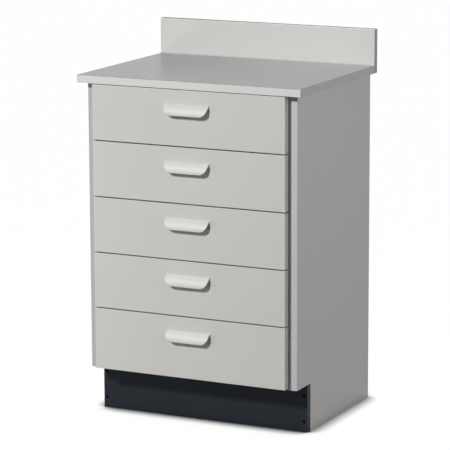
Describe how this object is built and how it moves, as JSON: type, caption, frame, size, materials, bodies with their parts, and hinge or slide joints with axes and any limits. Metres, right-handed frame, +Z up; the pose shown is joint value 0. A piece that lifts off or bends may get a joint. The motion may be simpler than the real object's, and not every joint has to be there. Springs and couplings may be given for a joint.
{
  "type": "clinic base cabinet with drawers",
  "caption": "Floor-standing clinic base cabinet: flat drawers on full-extension slides with curved pulls, under a laminate worktop with an upstand, over a recessed toe kick.",
  "frame": {"origin": "on the floor, under the middle of the cabinet's overall box with the drawers shut", "axes": "+Z up, +X to the cabinet's right as seen from the front, +Y towards its back; drawers open towards -Y"},
  "size_m": [0.622, 0.494, 0.984],
  "materials": {
    "carcass_board": "grey melamine-faced board, fine matt texture",
    "edge_band": "pale grey edge band, matt",
    "kick_board": "charcoal laminate, low sheen",
    "worktop_core": "raw particle board",
    "worktop_edging": "pale grey laminate edging",
    "worktop_laminate": "pale grey high-pressure laminate, satin",
    "sealant": "grey sealant bead",
    "zinc_screws": "zinc plated",
    "black_screws": "black finish",
    "cam_metal": "die-cast zinc",
    "dowel_wood": "fluted beech",
    "slide_steel": "zinc-plated rolled steel",
    "drawer_front": "pale warm-grey melamine-faced board, satin",
    "pull_plastic": "off-white moulded plastic, satin",
    "box_board": "white melamine-faced board",
    "box_bottom": "white-faced hardboard"
  },
  "bodies": {
    "root": {"side_panel_left": "carcass_board", "side_panel_right": "carcass_board", "edge_bands": "edge_band", "bottom_panel": "carcass_board", "top_rails": "carcass_board", "base_rail": "carcass_board", "back_panel": "carcass_board", "kick_board": "kick_board", "worktop_core": "worktop_core", "worktop_edging": "worktop_edging", "worktop_laminate": "worktop_laminate", "backsplash": "worktop_laminate", "backsplash_sealant": "sealant", "carcass_screws": "zinc_screws", "kick_screws": "black_screws", "cam_locks": "cam_metal", "cam_bolts": "zinc_screws", "dowels": "dowel_wood", "slide_cabinet_members": "slide_steel", "slide_screws": "zinc_screws"},
    "drawer_1": {"drawer_1_front": "drawer_front", "drawer_1_pull": "pull_plastic", "drawer_1_box_sides": "box_board", "drawer_1_box_ends": "box_board", "drawer_1_box_bottom": "box_bottom", "drawer_1_slide_members": "slide_steel", "drawer_1_screws": "zinc_screws"},
    "drawer_1_middles": {"drawer_1_slide_middles": "slide_steel"},
    "drawer_2": {"drawer_2_front": "drawer_front", "drawer_2_pull": "pull_plastic", "drawer_2_box_sides": "box_board", "drawer_2_box_ends": "box_board", "drawer_2_box_bottom": "box_bottom", "drawer_2_slide_members": "slide_steel", "drawer_2_screws": "zinc_screws"},
    "drawer_2_middles": {"drawer_2_slide_middles": "slide_steel"},
    "drawer_3": {"drawer_3_front": "drawer_front", "drawer_3_pull": "pull_plastic", "drawer_3_box_sides": "box_board", "drawer_3_box_ends": "box_board", "drawer_3_box_bottom": "box_bottom", "drawer_3_slide_members": "slide_steel", "drawer_3_screws": "zinc_screws"},
    "drawer_3_middles": {"drawer_3_slide_middles": "slide_steel"},
    "drawer_4": {"drawer_4_front": "drawer_front", "drawer_4_pull": "pull_plastic", "drawer_4_box_sides": "box_board", "drawer_4_box_ends": "box_board", "drawer_4_box_bottom": "box_bottom", "drawer_4_slide_members": "slide_steel", "drawer_4_screws": "zinc_screws"},
    "drawer_4_middles": {"drawer_4_slide_middles": "slide_steel"},
    "drawer_5": {"drawer_5_front": "drawer_front", "drawer_5_pull": "pull_plastic", "drawer_5_box_sides": "box_board", "drawer_5_box_ends": "box_board", "drawer_5_box_bottom": "box_bottom", "drawer_5_slide_members": "slide_steel", "drawer_5_screws": "zinc_screws"},
    "drawer_5_middles": {"drawer_5_slide_middles": "slide_steel"}
  },
  "joints": [
    {"name": "drawer_1_slide", "type": "slide", "parent": "root", "child": "drawer_1", "axis": [0, -1, 0], "range_m": [0, 0.38]},
    {"name": "drawer_1_middle_slide", "type": "slide", "parent": "root", "child": "drawer_1_middles", "axis": [0, -1, 0], "range_m": [0, 0.19]},
    {"name": "drawer_2_slide", "type": "slide", "parent": "root", "child": "drawer_2", "axis": [0, -1, 0], "range_m": [0, 0.38]},
    {"name": "drawer_2_middle_slide", "type": "slide", "parent": "root", "child": "drawer_2_middles", "axis": [0, -1, 0], "range_m": [0, 0.19]},
    {"name": "drawer_3_slide", "type": "slide", "parent": "root", "child": "drawer_3", "axis": [0, -1, 0], "range_m": [0, 0.38]},
    {"name": "drawer_3_middle_slide", "type": "slide", "parent": "root", "child": "drawer_3_middles", "axis": [0, -1, 0], "range_m": [0, 0.19]},
    {"name": "drawer_4_slide", "type": "slide", "parent": "root", "child": "drawer_4", "axis": [0, -1, 0], "range_m": [0, 0.38]},
    {"name": "drawer_4_middle_slide", "type": "slide", "parent": "root", "child": "drawer_4_middles", "axis": [0, -1, 0], "range_m": [0, 0.19]},
    {"name": "drawer_5_slide", "type": "slide", "parent": "root", "child": "drawer_5", "axis": [0, -1, 0], "range_m": [0, 0.38]},
    {"name": "drawer_5_middle_slide", "type": "slide", "parent": "root", "child": "drawer_5_middles", "axis": [0, -1, 0], "range_m": [0, 0.19]}
  ],
  "couplings": [
    {"joint": "drawer_1_middle_slide", "follows": "drawer_1_slide", "ratio": 0.5},
    {"joint": "drawer_2_middle_slide", "follows": "drawer_2_slide", "ratio": 0.5},
    {"joint": "drawer_3_middle_slide", "follows": "drawer_3_slide", "ratio": 0.5},
    {"joint": "drawer_4_middle_slide", "follows": "drawer_4_slide", "ratio": 0.5},
    {"joint": "drawer_5_middle_slide", "follows": "drawer_5_slide", "ratio": 0.5}
  ]
}
